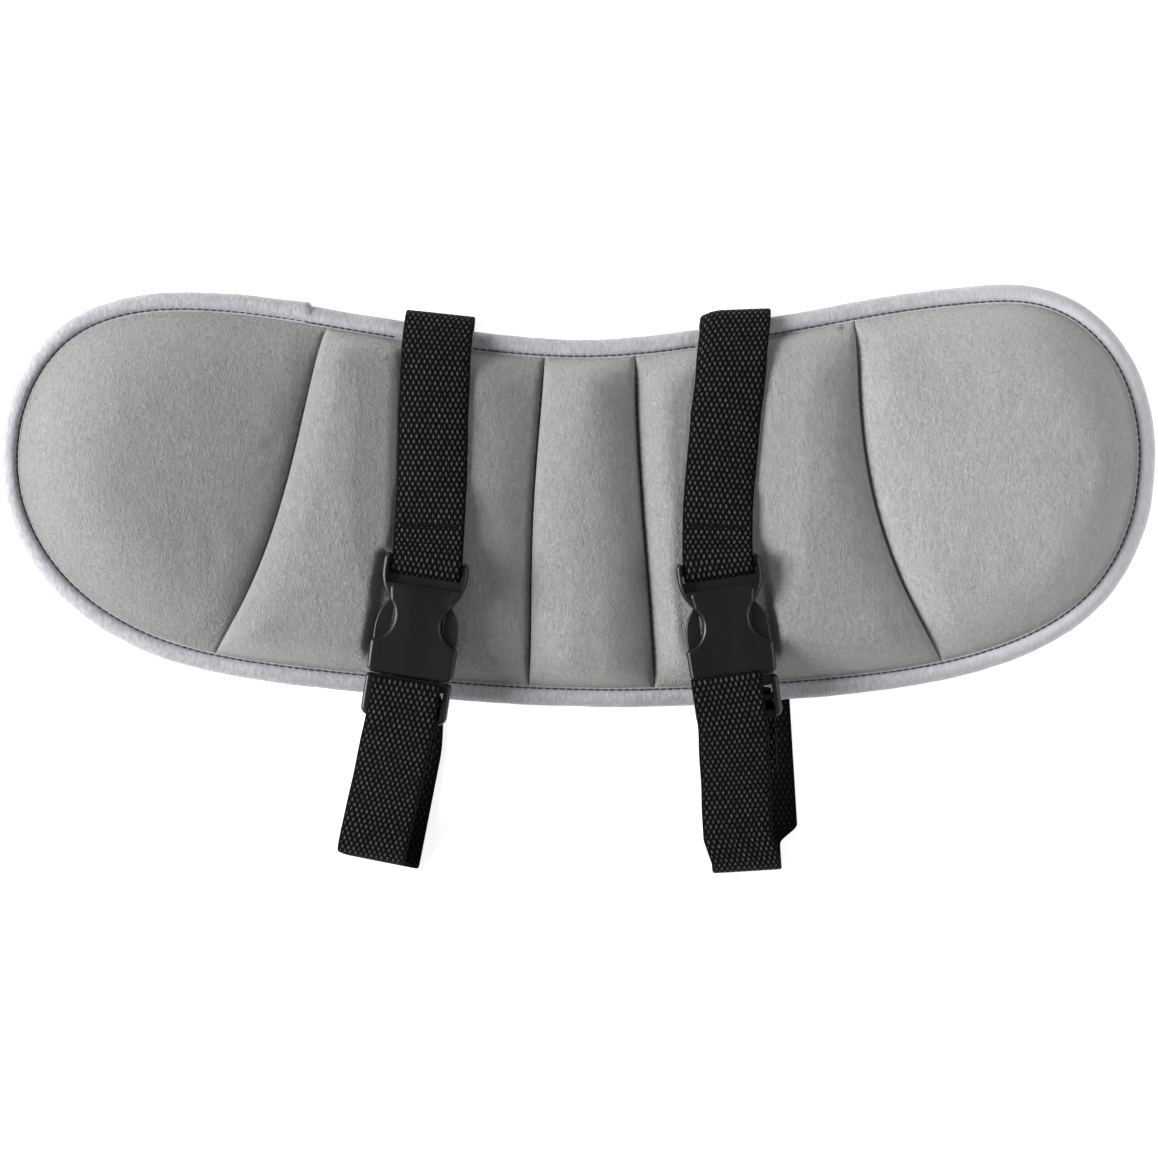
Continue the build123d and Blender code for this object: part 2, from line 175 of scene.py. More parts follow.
# -------- plan of the pad, read from the frame
def node_points(name):
    """Corners of a CAD node, as an array."""
    return np.array([v.co[:] for v in frame["nodes"][name].data.vertices])


def resampled(loop, count):
    """A closed line as evenly spaced points."""
    closed = np.vstack([loop, loop[:1]])
    along = np.r_[0, np.cumsum(np.linalg.norm(np.diff(closed, axis=0), axis=1))]
    at = np.linspace(0, along[-1], count, endpoint=False)
    return np.stack([np.interp(at, along, closed[:, k]) for k in range(2)], axis=1)


def outward(loop):
    """Unit normals of a closed counter-clockwise line."""
    along = np.roll(loop, -1, axis=0) - np.roll(loop, 1, axis=0)
    normal = np.stack([along[:, 1], -along[:, 0]], axis=1)
    return normal / np.linalg.norm(normal, axis=1, keepdims=True)


def pad_outline():
    """Outer edge of the binding, from the outline of the lining inside it."""
    points = np.unique(node_points("lining")[:, :2].round(5), axis=0)
    points = points[np.argsort(np.arctan2(points[:, 1], points[:, 0]))]
    loop = resampled(points, OUTLINE_POINTS)
    kernel = np.hanning(15) / np.hanning(15).sum()
    padded = np.vstack([loop[-7:], loop, loop[:7]])
    loop = np.stack([np.convolve(padded[:, k], kernel, "valid") for k in range(2)], axis=1)
    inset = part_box("lining")[0].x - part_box("edge_binding")[0].x
    return resampled(loop + outward(loop) * inset, OUTLINE_POINTS)


OUTLINE = pad_outline()
NORMALS = outward(OUTLINE)


def inset_loop(distance):
    """The pad's outline, moved inwards."""
    return OUTLINE - NORMALS * distance


def seam_curves():
    """Each seam as a polynomial x(y), fitted to its thread in the frame, from left to right."""
    points = node_points("panel_seam_threads")
    rank = points[:, 0] + SEAM_LEAN * points[:, 1]
    order = np.argsort(rank)
    gaps = np.flatnonzero(np.diff(rank[order]) > SEAM_GAP) + 1
    strips = np.split(points[order], gaps)
    return [np.poly1d(np.polyfit(strip[:, 1], strip[:, 0], 4)) for strip in strips]


SEAMS = seam_curves()


def buckle_frame(side):
    """Middle of the socket's bar and the direction along the buckle, in plan."""
    joint = next(j for j in frame["joints"] if j["name"] == f"buckle_release_{side}")
    along = np.array(joint["axis"][:2])
    across = np.array([-along[1], along[0]])
    points = node_points(f"socket_{side}")[:, :2]
    bar = along * ((points @ along).min() + RING_TOP)
    return bar + across * ((points @ across).min() + (points @ across).max()) / 2, along


def bar_height(side):
    """Middle height of a buckle."""
    low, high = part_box(f"socket_{side}")
    return (low.z + high.z) / 2


def under_socket(side):
    """Middle height of the webbing that lies under a socket."""
    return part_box(f"socket_{side}")[0].z + WEBBING_T / 2 + 0.1 * MM


# -------- mesh helpers
def new_piece(name, vertices, faces, smooth=True):
    """A mesh object in the scene."""
    mesh = bpy.data.meshes.new(name)
    mesh.from_pydata([tuple(v) for v in vertices], [], [tuple(f) for f in faces])
    mesh.validate()
    mesh.polygons.foreach_set("use_smooth", [smooth] * len(mesh.polygons))
    piece = bpy.data.objects.new(name, mesh)
    bpy.context.scene.collection.objects.link(piece)
    return piece


def rounded(points, passes=3):
    """A line with its corners cut, pass by pass."""
    points = np.array(points, float)
    for _ in range(passes):
        near = 0.75 * points[:-1] + 0.25 * points[1:]
        far = 0.25 * points[:-1] + 0.75 * points[1:]
        middle = np.stack([near, far], axis=1).reshape(-1, points.shape[1])
        points = np.vstack([points[:1], middle, points[-1:]])
    return points


def even_steps(points, step):
    """A line as points about a step apart."""
    along = np.r_[0, np.cumsum(np.linalg.norm(np.diff(points, axis=0), axis=1))]
    at = np.linspace(0, along[-1], max(2, int(along[-1] / step)))
    return np.stack([np.interp(at, along, points[:, k]) for k in range(points.shape[1])], axis=1)


def ease(t):
    """0 to 1, smooth at both ends."""
    t = np.clip(t, 0, 1)
    return t * t * (3 - 2 * t)


def wander(points, scale, seed):
    """Smooth noise from -1 to 1 at each point."""
    offset = Vector((seed * 3.1, seed * 1.7, seed * 2.3))
    return np.array([noise.noise(Vector(p) / scale + offset) for p in points])


def distance_to(loop, points):
    """Distance from each point to a line of closely spaced points."""
    nearest = np.full(len(points), np.inf)
    for start in range(0, len(points), 2000):
        chunk = points[start:start + 2000]
        gap = np.linalg.norm(chunk[:, None] - loop[None], axis=2)
        nearest[start:start + 2000] = gap.min(axis=1)
    return nearest


def inside(polygon, points):
    """Which points lie in a polygon."""
    x, y = points[:, 0], points[:, 1]
    hit = np.zeros(len(points), bool)
    for (x0, y0), (x1, y1) in zip(polygon, np.roll(polygon, -1, axis=0)):
        crosses = (y0 > y) != (y1 > y)
        if y0 != y1:
            hit ^= crosses & (x < x0 + (y - y0) * (x1 - x0) / (y1 - y0))
    return hit


def filled_plan(polygon, step):
    """Triangles over a polygon: (points, faces, number of edge points, which come first)."""
    low, high = polygon.min(0), polygon.max(0)
    xs = np.arange(low[0], high[0], step)
    ys = np.arange(low[1], high[1], step * 0.87)
    grid = np.array([(x + (k % 2) * step / 2, y) for k, y in enumerate(ys) for x in xs])
    grid = grid[inside(polygon, grid)]
    grid = grid[distance_to(polygon, grid) > 0.6 * step]
    points = np.vstack([polygon, grid])
    count = len(polygon)
    edges = [(k, (k + 1) % count) for k in range(count)]
    found = delaunay_2d_cdt([Vector(p) for p in points], edges, [], 1, 1e-7)
    return np.array([p[:] for p in found[0]]), [list(f) for f in found[2]], count


# -------- straps: routes
def strip_axis(points):
    """Middle and upward direction of a flat strip, from its corners."""
    middle = (points.min(0) + points.max(0)) / 2
    direction = np.linalg.svd(points - points.mean(0))[2][0]
    return middle, direction * np.sign(direction[1])


def strap_plan(side):
    """The upper strap's line in plan: from the bar along the buckle, easing into its own lean."""
    bar, along = buckle_frame(side)
    points = node_points(f"upper_strap_{side}")
    flat = points[points[:, 2] < BACK_LAYER][:, :2]
    middle, lean = strip_axis(flat)
    reach = ((points[:, :2] - middle) @ lean).max() - WEBBING_T / 2 - FOLD_LOWER[side]
    cos, sin = math.cos(EXTRA_LEAN[side]), math.sin(EXTRA_LEAN[side])
    leaning = np.array([lean[0] * cos + lean[1] * sin, lean[1] * cos - lean[0] * sin])
    return bar, along, middle + lean * reach, leaning


class Route:
    """A strap's line in plan. It stays on its line and folds squarely, unless its kind says otherwise."""

    def aside(self, travelled, s, z):
        """How far the strap is off its line, to its own left."""
        return 0.0

    def skew(self, x, s):
        """How far one edge of the strap runs ahead of the other, towards a slanting fold."""
        return 0.0

    def swing(self, s):
        """How far the rear run strays sideways from the front run, below the pad."""
        return 0.0


class UpperRoute(Route):
    """Plan position and direction at a distance up the strap from the socket's bar."""

    def __init__(self, side):
        self.bar, self.along, self.fold, self.lean = strap_plan(side)
        self.slant, self.tuck = FOLD_SLANT[side], FOLD_TUCK[side]
        self.length = np.linalg.norm(self.fold - self.bar)
        start, end = -self.along * UPPER_BEND, self.lean * self.length
        t = np.linspace(0, 1, 200)[:, None]
        curve = (2 * t**3 - 3 * t**2 + 1) * self.bar + (t**3 - 2 * t**2 + t) * start
        curve = curve + (3 * t**2 - 2 * t**3) * self.fold + (t**3 - t**2) * end
        self.curve = curve
        self.steps = np.r_[0, np.cumsum(np.linalg.norm(np.diff(curve, axis=0), axis=1))]

    def place(self, s, behind):
        """(point, direction) at distance s, on the face or behind the pad."""
        if s <= 0:
            return self.bar - self.along * s, -self.along
        if behind or s >= self.steps[-1]:
            return self.fold + self.lean * (s - self.steps[-1]), self.lean
        point = np.array([np.interp(s, self.steps, self.curve[:, k]) for k in range(2)])
        ahead = np.array([np.interp(s + MM, self.steps, self.curve[:, k]) for k in range(2)])
        step = ahead - point
        if np.linalg.norm(step) < 1e-6:
            return point, self.lean
        return point, step / np.linalg.norm(step)

    def skew(self, x, s):
        """One edge ahead of the other by the fold's slant, and the left edge tucked in."""
        tucked = self.tuck * max(0.0, -2 * x / WEBBING_W - 0.6) / 0.4
        return (self.slant * x - tucked) * float(ease((s - 50 * MM) / (30 * MM)))


class LowerRoute(Route):
    """Plan position and direction at a distance below the socket's bar, bending past the plug."""

    def __init__(self, side):
        self.stray, self.drift = STRAY[side], DRIFT[side]
        self.bar, self.along = buckle_frame(side)
        upward = strip_axis(node_points(f"lower_strap_rear_run_{side}")[:, :2])[1]
        self.lean = -upward

    def swing(self, s):
        """A stray that eases in, and ends within 7 mm."""
        start, reach, end, aside = self.stray
        return aside * (ease((s - start) / reach) * ease((end - s) / (7 * MM)))

    def aside(self, travelled, s, z):
        """The front run's drift, which becomes the rear run's stray round the turn below the pad."""
        places, drifts = zip(*self.drift)
        drift = float(np.interp(s, places, drifts) * ease((travelled - UP_THROUGH) / (5 * MM)))
        front = float(ease((z - 3 * MM) / (3 * MM))) if s > 100 * MM else 1.0
        return drift * front - self.swing(s) * (1 - front)

    def place(self, s, behind):
        """(point, direction) at distance s."""
        turn = self.bar + self.along * LOWER_BEND
        far = turn + self.lean * (s - LOWER_BEND)
        if behind:
            return far + self.swing(s) * np.array([-self.lean[1], self.lean[0]]), self.lean
        near = self.bar + self.along * s
        blend = float(ease((s - LOWER_BEND + 10 * MM) / (20 * MM)))
        direction = (1 - blend) * self.along + blend * self.lean
        return (1 - blend) * near + blend * far, direction / np.linalg.norm(direction)


UPPER = {side: UpperRoute(side) for side in SIDES}
LOWER = {side: LowerRoute(side) for side in SIDES}


def upper_profile(side):
    """Side-on route of an upper strap, as (distance above the bar, height) points."""
    z = bar_height(side)
    fold = UPPER[side].length
    under = under_socket(side)
    top = under + LAYER
    return [
        (UPPER_END, WEBBING_T / 2), (fold - 8 * MM, WEBBING_T / 2), (fold, WEBBING_T / 2),
        (fold + 0.4 * MM, 5 * MM), (fold - 0.2 * MM, 11 * MM), (fold - 7 * MM, 15.5 * MM),
        (fold - 17 * MM, under - 1.2 * MM), (fold - 28 * MM, under), (36 * MM, under), (29 * MM, under),
        (24 * MM, top), (10 * MM, top), (3.5 * MM, z + BAR_LAYER), (0, z + BAR_LAYER + 0.2 * MM),
        (-BAR_HALF - 1.4 * MM, z + BAR_LAYER - 0.2 * MM), (-BAR_HALF - 1.4 * MM, z - BAR_LAYER + 0.2 * MM),
        (0, z - BAR_LAYER - 0.1 * MM), (4 * MM, z - BAR_LAYER + 0.1 * MM), (9 * MM, under), (22 * MM, under),
    ]


def lower_profile(side):
    """Side-on route of a lower strap, as (distance below the bar, height) points."""
    z = bar_height(side)
    top, under = z + BAR_LAYER + OVER_RAIL[side], z - BAR_LAYER
    fold = LOWER_FOLD - TURN_BACK[side]
    slack = [(s * MM, z + up * MM) for s, up in SLACK[side]]
    return [
        (75 * MM, under - 6.6 * MM), (63 * MM, under - 0.7 * MM), (57 * MM, under), (50 * MM, under),
        (45.8 * MM, under), *slack, (57 * MM, top), (63 * MM, top - 1.8 * MM), (78 * MM, 19.4 * MM),
        (fold - 18.4 * MM, 13.6 * MM), (fold - 10.4 * MM, 11.6 * MM), (fold - 3.9 * MM, 8.8 * MM),
        (fold, 5.0 * MM), (fold - 0.6 * MM, WEBBING_T / 2), (fold - 7.4 * MM, WEBBING_T / 2),
        (60 * MM, WEBBING_T / 2), (LOWER_END, WEBBING_T / 2),
    ]


def crown_of_strap(s, side):
    """How far an upper strap's edges droop below its middle, at a distance above the bar."""
    return CROWN * ease((s - 16 * MM) / (14 * MM)) * ease((UPPER[side].length + 2 * MM - s) / (16 * MM))


def droop(name, s, z):
    """How far a strap's edges droop at one place along it, above FACE_Z only."""
    kind, side = name.split("_")[1:]
    if z < FACE_Z:
        return 0.0
    if kind == "upper":
        return float(crown_of_strap(s, side))
    return float(0.7 * CROWN * ease((s - 50 * MM) / (12 * MM)) * ease((106 * MM - s) / (14 * MM)))


def strap_section():
    """Cross-section of the webbing, counter-clockwise: rounded selvages, flat faces."""
    half, thick = WEBBING_W / 2, WEBBING_T / 2
    across = np.linspace(-half + thick, half - thick, 9)
    turn = np.linspace(-math.pi / 2, math.pi / 2, 5)[1:-1]
    right = [(half - thick + thick * math.cos(a), thick * math.sin(a)) for a in turn]
    left = [(-x, -y) for x, y in right]
    return np.array([(x, -thick) for x in across] + right + [(x, thick) for x in across[::-1]] + left)


def strap_piece(name, route, profile):
    """Webbing along a side-on profile laid on its route, with UVs in metres: across, along."""
    line = even_steps(rounded(profile, 4), 0.8 * MM)
    section = strap_section()
    count = len(section)
    along = np.r_[0, np.cumsum(np.linalg.norm(np.diff(line, axis=0), axis=1))]
    tangents = np.gradient(line, axis=0)
    tangents /= np.linalg.norm(tangents, axis=1, keepdims=True)
    vertices = []
    for (s, z), (ts, tz), travelled in zip(line, tangents, along):
        behind = z < BEHIND_Z
        point, heading = route.place(s, behind)
        waver = 0.0 if behind else 0.35 * MM * noise.noise(Vector((s / (14 * MM), z / (40 * MM), len(name))))
        forward = Vector((heading[0] * ts, heading[1] * ts, tz)).normalized()
        across = Vector((heading[1], -heading[0], 0)).normalized()
        up = across.cross(forward).normalized()
        centre = Vector((point[0], point[1], z)) + across * waver
        drop = droop(name, s, z)
        if not behind:
            centre += across * route.aside(travelled, s, z)
        for x, y in section:
            ahead = Vector((heading[0], heading[1], 0)) * route.skew(x, s)
            sag = Vector((0, 0, drop * (2 * x / WEBBING_W) ** 2))
            vertices.append(centre + across * x + up * y + ahead - sag)
    faces = []
    for k in range(len(line) - 1):
        for j in range(count):
            a, b = k * count + j, k * count + (j + 1) % count
            faces.append((a, b, b + count, a + count))
    faces.append(tuple(range(count))[::-1])
    faces.append(tuple(range((len(line) - 1) * count, len(line) * count)))
    piece = new_piece(name, vertices, faces)
    uv = piece.data.uv_layers.new(name="webbing")
    spots = np.array([(section[k % count][0], along[k // count]) for k in range(len(vertices))])
    loops = np.array([loop.vertex_index for loop in piece.data.loops])
    uv.data.foreach_set("uv", spots[loops].ravel())
    return piece


# -------- quilted face
def seam_cosine(k, y):
    """Cosine of a seam's lean, which turns a gap along X into a distance."""
    return 1 / np.sqrt(1 + SEAMS[k].deriv()(y) ** 2)


def seam_distance(k, points):
    """Distance in plan from a seam."""
    return np.abs(points[:, 0] - SEAMS[k](points[:, 1])) * seam_cosine(k, points[:, 1])


def crown_height(points, index):
    """Height of one panel's crown, which falls towards the seams beside it."""
    crown = CROWNS[PANELS[index]]
    height = np.full(len(points), crown["top"] * MM)
    for k, falls in ((index - 1, crown["left"]), (index, crown["right"])):
        if 0 <= k < len(SEAMS):
            away = seam_distance(k, points)
            for drop, reach in falls:
                height -= drop * MM * np.clip(1 - away / (reach * MM), 0, 1) ** 1.7
            height -= GROOVE_DEPTH * np.exp(-((away / GROOVE_REACH) ** 2))
    return height


def buckle_floor(points, side):
    """Height that a buckle presses the face down to, or FREE past its upper end."""
    bar, along = buckle_frame(side)
    across = np.array([-along[1], along[0]])
    v = (points - bar) @ along
    u = np.abs((points - bar) @ across)
    step = BUCKLE_STEP * ease((u - BUCKLE_STEP_FROM) / (3 * MM))
    sides = np.maximum(0, u - BUCKLE_HALF) * BUCKLE_SIDE_SLOPE
    end = np.maximum(0, -v - 2 * MM) * BUCKLE_END_SLOPE
    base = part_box(f"socket_{side}")[0].z - BUCKLE_GAP
    return np.where(v > -6 * MM, base + step + sides + end, FREE)


def webbing_heights(side, stations):
    """Lowest height of an upper strap near each distance above the bar, on the face."""
    line = rounded(upper_profile(side), 4)
    line = line[line[:, 1] > FACE_Z]
    near = [line[np.abs(line[:, 0] - s) < 2.5 * MM] for s in stations]
    heights = np.array([part[:, 1].min(initial=0.03) for part in near])
    return np.where(stations < LOOP_END, np.minimum(heights, under_socket(side)), heights)


def webbing_floor(points, side):
    """Height that an upper strap presses the face down to, or FREE far from it."""
    route = UPPER[side]
    stations = np.linspace(4 * MM, route.length, 120)
    centres = np.array([route.place(s, False)[0] for s in stations])
    heights = webbing_heights(side, stations)
    gaps = np.linalg.norm(points[:, None] - centres[None], axis=2)
    nearest = gaps.argmin(axis=1)
    u = gaps.min(axis=1)
    press = heights[nearest] - WEBBING_T / 2 - 0.2 * MM - crown_of_strap(stations[nearest], side)
    press = press + np.maximum(0, u - VALLEY_HALF) * VALLEY_SLOPE
    if side == "left":
        on_left = points[:, 0] < centres[nearest][:, 0]
        press = press + on_left * np.clip(u - VALLEY_HALF, 0, VALLEY_STEEP_W) * VALLEY_STEEP
    return np.where(u < VALLEY_REACH, press, FREE)


def strap_floor(points):
    """Height that the straps and buckles press the face down to, or FREE away from them."""
    floors = [press(points, side) for side in SIDES for press in (buckle_floor, webbing_floor)]
    return np.minimum.reduce(floors)


def soft_minimum(a, b, width):
    """The smaller of two heights, rounded over a width where they meet."""
    gap = np.clip((a - b) / width, -1, 1)
    return np.where(np.abs(a - b) < width, (a + b) / 2 - width / 4 * (1 + gap * gap), np.minimum(a, b))


def face_height(points, index, rim):
    """Height of the plush face of one panel."""
    crown = CROWNS[PANELS[index]]
    t = np.clip(rim / (crown["rim"] * MM), 0, 1)
    rise = 1 - (1 - t) ** crown["steep"]
    height = RIM_HEIGHT + (crown_height(points, index) - RIM_HEIGHT) * rise
    spots = np.column_stack([points, np.zeros(len(points))])
    swell = wander(spots, 26 * MM, 1) * 0.5 * MM + wander(spots, 9 * MM, 2) * 0.16 * MM
    height += swell * ease(rim / (6 * MM))
    return soft_minimum(height, strap_floor(points), 2.4 * MM)


def seam_end(k, loop, upper):
    """Where a seam meets the hollow edge or the full edge of a closed line."""
    y = 60 * MM if upper else -60 * MM
    part = loop[loop[:, 1] > 30 * MM] if upper else loop[loop[:, 1] < -20 * MM]
    part = part[np.argsort(part[:, 0])]
    for _ in range(12):
        y = np.interp(SEAMS[k](y), part[:, 0], part[:, 1])
    return y


def seam_line(k, loop, gap):
    """A seam as points from the full edge up to the hollow edge, moved sideways by a gap."""
    low, high = seam_end(k, loop, False), seam_end(k, loop, True)
    y = np.arange(low, high, GRID * 0.9)
    y = np.r_[y[:-1], high]
    x = SEAMS[k](y) + gap / seam_cosine(k, y)
    return np.column_stack([x, y])


def panel_polygon(index, gap):
    """Counter-clockwise edge of one quilted panel."""
    loop = inset_loop(BINDING_W - 0.2 * MM)
    start = int(np.argmin(loop[:, 0]))
    loop = np.roll(loop, -start, axis=0)
    split = int(np.argmax(loop[:, 0]))
    bottom, top = loop[:split + 1], loop[split:]
    left = seam_line(index - 1, loop, gap) if index > 0 else None
    right = seam_line(index, loop, -gap) if index < len(SEAMS) else None

    def between(part, end):
        low = left[end, 0] + 0.6 * MM if left is not None else -1
        high = right[end, 0] - 0.6 * MM if right is not None else 1
        return part[(part[:, 0] > low) & (part[:, 0] < high)]

    sides = [between(bottom, 0)]
    if right is not None:
        sides.append(right)
    sides.append(between(top, -1))
    if left is not None:
        sides.append(left[::-1])
    return thinned(np.vstack(sides))


def thinned(polygon):
    """A polygon without points closer than a third of the grid to the one before."""
    keep = [polygon[0]]
    for point in polygon[1:]:
        if np.linalg.norm(point - keep[-1]) > GRID / 3:
            keep.append(point)
    return np.array(keep)


def plush_panel(index):
    """One panel of the face: a crowned closed form with its edges drawn down to the seams."""
    name = PANELS[index]
    polygon = panel_polygon(index, 0.12 * MM)
    points, faces, count = filled_plan(polygon, GRID)
    rim = distance_to(inset_loop(BINDING_W - 0.2 * MM), points)
    height = face_height(points, index, rim)
    vertices = np.column_stack([points, np.maximum(height, PANEL_BASE + CROWN_BASE)])
    base = np.column_stack([points[:count], np.full(count, PANEL_BASE)])
    total = len(points)
    walls = [(k, total + k, total + (k + 1) % count, (k + 1) % count) for k in range(count)]
    floor = [tuple(total + k for k in range(count))[::-1]]
    piece = new_piece(f"plush_panel_{name}", np.vstack([vertices, base]), faces + walls + floor)
    settle(piece, total, count)
    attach(piece, "pad")
    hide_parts(f"front_panel_{name}", f"filling_{name}")
    return piece


def settle(piece, total, count):
    """Lets the cover swell against its sewn edges for a few frames of cloth."""
    start = np.array([v.co[:] for v in piece.data.vertices])
    held = piece.vertex_groups.new(name="sewn")
    pinned = list(range(count)) + list(range(total, len(start)))
    held.add(pinned, 1.0, "REPLACE")
    cloth = piece.modifiers.new("cloth", "CLOTH").settings
    cloth.quality = 4
    cloth.mass = 0.25
    cloth.tension_stiffness = 12
    cloth.compression_stiffness = 12
    cloth.shear_stiffness = 4
    cloth.bending_stiffness = 0.4
    cloth.use_pressure = True
    cloth.uniform_pressure_force = SETTLE_PRESSURE
    cloth.vertex_group_mass = "sewn"
    cloth.effector_weights.gravity = 0
    cache = piece.modifiers["cloth"].point_cache
    cache.frame_start, cache.frame_end = 1, SETTLE_FRAMES
    scene = bpy.context.scene
    for step in range(1, SETTLE_FRAMES + 1):
        scene.frame_set(step)
    evaluated = piece.evaluated_get(bpy.context.evaluated_depsgraph_get())
    moved = np.array([v.co[:] for v in evaluated.data.vertices])
    piece.modifiers.clear()
    piece.vertex_groups.clear()
    scene.frame_set(1)
    shift = moved - start
    size = np.linalg.norm(shift, axis=1, keepdims=True)
    shift = shift * np.minimum(1, SETTLE_CAP / np.maximum(size, 1e-9))
    limit = strap_floor(start[:, :2])
    settled = start + shift
    settled[:, 2] = np.minimum(settled[:, 2], np.maximum(limit, start[:, 2]))
    piece.data.vertices.foreach_set("co", settled.ravel())
    piece.data.update()


# -------- binding and back
def binding_section():
    """C-shaped section of the binding, as (inset, height) points, and how many of them lie outside."""
    # The outer side starts at the top lip, beside the stitches' groove, and ends below the pad.
    outer = [
        (7.3, 7.5), (7.2, 8.5), (7.0, 8.9), (6.75, 8.6), (6.35, 7.7), (5.95, 8.5), (5.5, 9.25),
        (4.5, 9.75), (3.3, 9.7), (2.1, 9.2), (1.1, 8.2), (0.4, 6.8), (0.05, 5.0), (0.25, 3.0),
        (0.9, 1.4), (1.9, 0.45), (3.2, 0.05), (5.2, 0.0), (7.2, 0.0),
    ]
    inner = [(7.2, 2.1), (4.5, 2.15), (2.1, 2.2), (2.0, 4.8), (2.1, 7.35), (4.5, 7.4)]
    return np.array(outer + inner) * MM, len(outer)


def binding_piece():
    """Soft rolled edge, with small puckers, and a lapped join on the hollow edge."""
    section, outer_count = binding_section()
    count = len(section)
    base = inset_loop(0)
    spots = np.column_stack([base, np.zeros(len(base))])
    pucker = wander(spots, 7 * MM, 5) * 0.28 * MM + wander(spots, 19 * MM, 6) * 0.25 * MM
    on_top = base[:, 1] > 0.04
    behind = (base[:, 0] - LAP_X) / MM
    lap = np.where(on_top & (behind < 0), np.exp(np.minimum(behind, 0) / 30) * LAP_STEP, 0)
    vertices = []
    lift = strap_lift(base - NORMALS * 3 * MM) * BACK_LAYER
    for point, normal, puff, recess in zip(base, NORMALS, pucker + lap, lift):
        for k, (inset, z) in enumerate(section):
            free = 1 - abs(inset - 2 * MM) / (6 * MM) if k < outer_count and z > 1 * MM else 0
            swell = max(0, free) * puff
            raised = swell * 0.5 if z > 5 * MM else 0
            spot = point - normal * (inset - swell)
            vertices.append((spot[0], spot[1], max(z + raised, recess + 0.3 * z if z < 2.2 * MM else 0)))
    faces = []
    rings = len(base)
    for k in range(rings):
        for j in range(count):
            a, b = k * count + j, k * count + (j + 1) % count
            c, d = (k + 1) % rings * count + (j + 1) % count, (k + 1) % rings * count + j
            faces.append((a, b, c, d))
    piece = new_piece("rolled_binding", vertices, faces)
    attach(piece, "pad")
    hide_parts("edge_binding")
    return piece


def capsule(start, end, radius, sides=6):
    """Corners and faces of a short round stitch that sinks at both ends."""
    start, end = Vector(start), Vector(end)
    along = end - start
    forward = along.normalized()
    side = forward.cross(Vector((0, 0, 1))).normalized()
    up = side.cross(forward)
    vertices, faces = [], []
    steps = [(0, 0.35), (0.2, 0.85), (0.5, 1.0), (0.8, 0.85), (1, 0.35)]
    for t, swell in steps:
        centre = start + along * t + up * radius * (math.sin(math.pi * t) - 0.6)
        for j in range(sides):
            a = 2 * math.pi * j / sides
            vertices.append(centre + (side * math.cos(a) + up * math.sin(a)) * radius * swell)
    for k in range(len(steps) - 1):
        for j in range(sides):
            a, b = k * sides + j, k * sides + (j + 1) % sides
            faces.append((a, b, b + sides, a + sides))
    faces.append(tuple(range(sides))[::-1])
    faces.append(tuple(range((len(steps) - 1) * sides, len(steps) * sides)))
    return vertices, faces


def stitched(name, runs, radius, node):
    """One piece of many stitches on the pad, from (start, end) pairs."""
    vertices, faces = [], []
    for start, end in runs:
        more, rings = capsule(start, end, radius)
        faces += [tuple(k + len(vertices) for k in ring) for ring in rings]
        vertices += more
    piece = new_piece(name, vertices, faces)
    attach(piece, "pad")
    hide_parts(node)
    return piece


def under_strap(point):
    """Whether a plan point lies under an upper strap's fold."""
    return any(
        abs(np.dot(point - UPPER[side].fold, [UPPER[side].lean[1], -UPPER[side].lean[0]])) < 13 * MM
        and point[1] > 0.03
        for side in SIDES
    )


def binding_stitches():
    """The row of stitches in the binding's groove, round the face except under the straps."""
    loop = resampled(inset_loop(6.35 * MM), 370)
    z = 8.3 * MM
    runs = []
    for k in range(len(loop)):
        here, there = loop[k], loop[(k + 1) % len(loop)]
        if under_strap(here):
            continue
        step = there - here
        runs.append(((*(here + step * 0.04), z), (*(there - step * 0.04), z)))
    return stitched("binding_stitches", runs, 0.36 * MM, "binding_thread")


def seam_stitches():
    """The stitches deep in the four seams of the face."""
    loop = inset_loop(BINDING_W)
    z = PANEL_BASE + 1.0 * MM
    runs = []
    for k in range(len(SEAMS)):
        line = even_steps(seam_line(k, loop, 0), 3 * MM)
        for here, there in zip(line[:-1], line[1:]):
            step = there - here
            runs.append(((*(here + step * 0.1), z), (*(there - step * 0.1), z)))
    return stitched("seam_stitches", runs, 0.12 * MM, "panel_seam_threads")


def box_rows(centre, heading, size):
    """Stitch rows of a square with diagonals, as pairs of plan points."""
    heading = np.array(heading)
    side = np.array([heading[1], -heading[0]])
    signs = ((-1, -1), (1, -1), (1, 1), (-1, 1))
    corners = [centre + side * a * size / 2 + heading * b * size / 2 for a, b in signs]
    edges = [(corners[k], corners[(k + 1) % 4]) for k in range(4)]
    return edges + [(corners[0], corners[2]), (corners[1], corners[3])]


def anchor_stitches():
    """Boxed crosses of stitching where the straps are sewn to the back."""
    runs = []
    for side in SIDES:
        for route, sewn in ((UPPER[side], UPPER_SEWN), (LOWER[side], LOWER_SEWN)):
            for start, end in box_rows(route.place(sewn, True)[0], route.lean, 18 * MM):
                steps = max(2, int(np.linalg.norm(end - start) / (2.2 * MM)))
                for k in range(steps):
                    a = start + (end - start) * (k + 0.1) / steps
                    b = start + (end - start) * (k + 0.9) / steps
                    runs.append(((*a, 0.3 * MM), (*b, 0.3 * MM)))
    return stitched("anchor_stitches", runs, 0.3 * MM, "strap_anchor_stitches")


